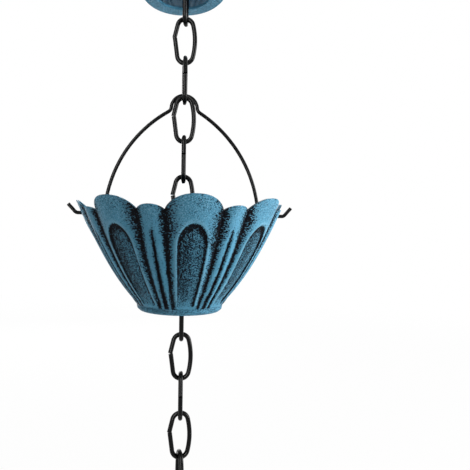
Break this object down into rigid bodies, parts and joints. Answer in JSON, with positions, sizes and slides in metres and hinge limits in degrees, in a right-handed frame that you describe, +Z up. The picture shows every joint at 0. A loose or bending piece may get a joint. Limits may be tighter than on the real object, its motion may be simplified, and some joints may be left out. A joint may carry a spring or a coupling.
{
  "type": "rain chain",
  "caption": "Hanging rain chain of bent wire links with petalled cups on wire bails, their edges scalloped and walls fluted, and a glassy drop at the bottom end.",
  "frame": {"origin": "inside the upper bow of the top link, where the hook that carries the chain bears", "axes": "+Z up along the hanging chain, the front faces -Y, +X to the right as seen from the front"},
  "size_m": [0.1232, 0.1115, 1.0604],
  "materials": {
    "black_wire": "satin",
    "cup_paint": "satin, rubbed",
    "amber": "polished"
  },
  "bodies": {
    "chain": {"link_01": "black_wire", "link_02": "black_wire", "link_03": "black_wire", "link_04": "black_wire", "link_05": "black_wire", "link_06": "black_wire", "link_07": "black_wire", "link_08": "black_wire", "link_09": "black_wire", "link_10": "black_wire", "link_11": "black_wire", "link_12": "black_wire", "link_13": "black_wire", "link_14": "black_wire", "link_15": "black_wire", "link_16": "black_wire", "link_17": "black_wire", "link_18": "black_wire", "link_19": "black_wire", "link_20": "black_wire", "link_21": "black_wire", "link_22": "black_wire", "link_23": "black_wire", "link_24": "black_wire", "link_25": "black_wire", "link_26": "black_wire", "link_27": "black_wire", "link_28": "black_wire", "link_29": "black_wire", "link_30": "black_wire", "link_31": "black_wire", "link_32": "black_wire", "link_33": "black_wire", "link_34": "black_wire", "link_35": "black_wire", "link_36": "black_wire", "link_37": "black_wire", "link_38": "black_wire", "link_39": "black_wire", "link_40": "black_wire", "link_41": "black_wire", "link_42": "black_wire", "link_43": "black_wire", "link_44": "black_wire", "link_45": "black_wire", "link_46": "black_wire", "link_47": "black_wire", "bail_1": "black_wire", "bail_2": "black_wire", "bail_3": "black_wire", "bail_4": "black_wire", "bail_5": "black_wire", "drop_ring": "black_wire"},
    "cup_1_body": {"cup_1": "cup_paint"},
    "cup_2_body": {"cup_2": "cup_paint"},
    "cup_3_body": {"cup_3": "cup_paint"},
    "cup_4_body": {"cup_4": "cup_paint"},
    "cup_5_body": {"cup_5": "cup_paint"},
    "drop_body": {"drop": "amber"}
  },
  "joints": [
    {"name": "cup_1_rock", "type": "hinge", "parent": "chain", "child": "cup_1_body", "pos_m": [0, 0.0018, -0.10491], "axis": [0.9919, 0.1271, 0], "range_deg": [-10.5, 6.5]},
    {"name": "cup_2_rock", "type": "hinge", "parent": "chain", "child": "cup_2_body", "pos_m": [0, 0.0018, -0.27611], "axis": [0.9919, 0.1271, 0], "range_deg": [-10.5, 6.5]},
    {"name": "cup_3_rock", "type": "hinge", "parent": "chain", "child": "cup_3_body", "pos_m": [0, 0.0018, -0.44731], "axis": [0.9919, 0.1271, 0], "range_deg": [-10.5, 6.5]},
    {"name": "cup_4_rock", "type": "hinge", "parent": "chain", "child": "cup_4_body", "pos_m": [0, 0.0018, -0.61851], "axis": [0.9919, 0.1271, 0], "range_deg": [-10.5, 6.5]},
    {"name": "cup_5_rock", "type": "hinge", "parent": "chain", "child": "cup_5_body", "pos_m": [0, 0.0018, -0.78971], "axis": [0.9919, 0.1271, 0], "range_deg": [-10.5, 6.5]},
    {"name": "drop_swing", "type": "hinge", "parent": "chain", "child": "drop_body", "pos_m": [0, 0, -1.01345], "axis": [-0.4067, 0.9135, 0], "range_deg": [-75, 75]}
  ]
}
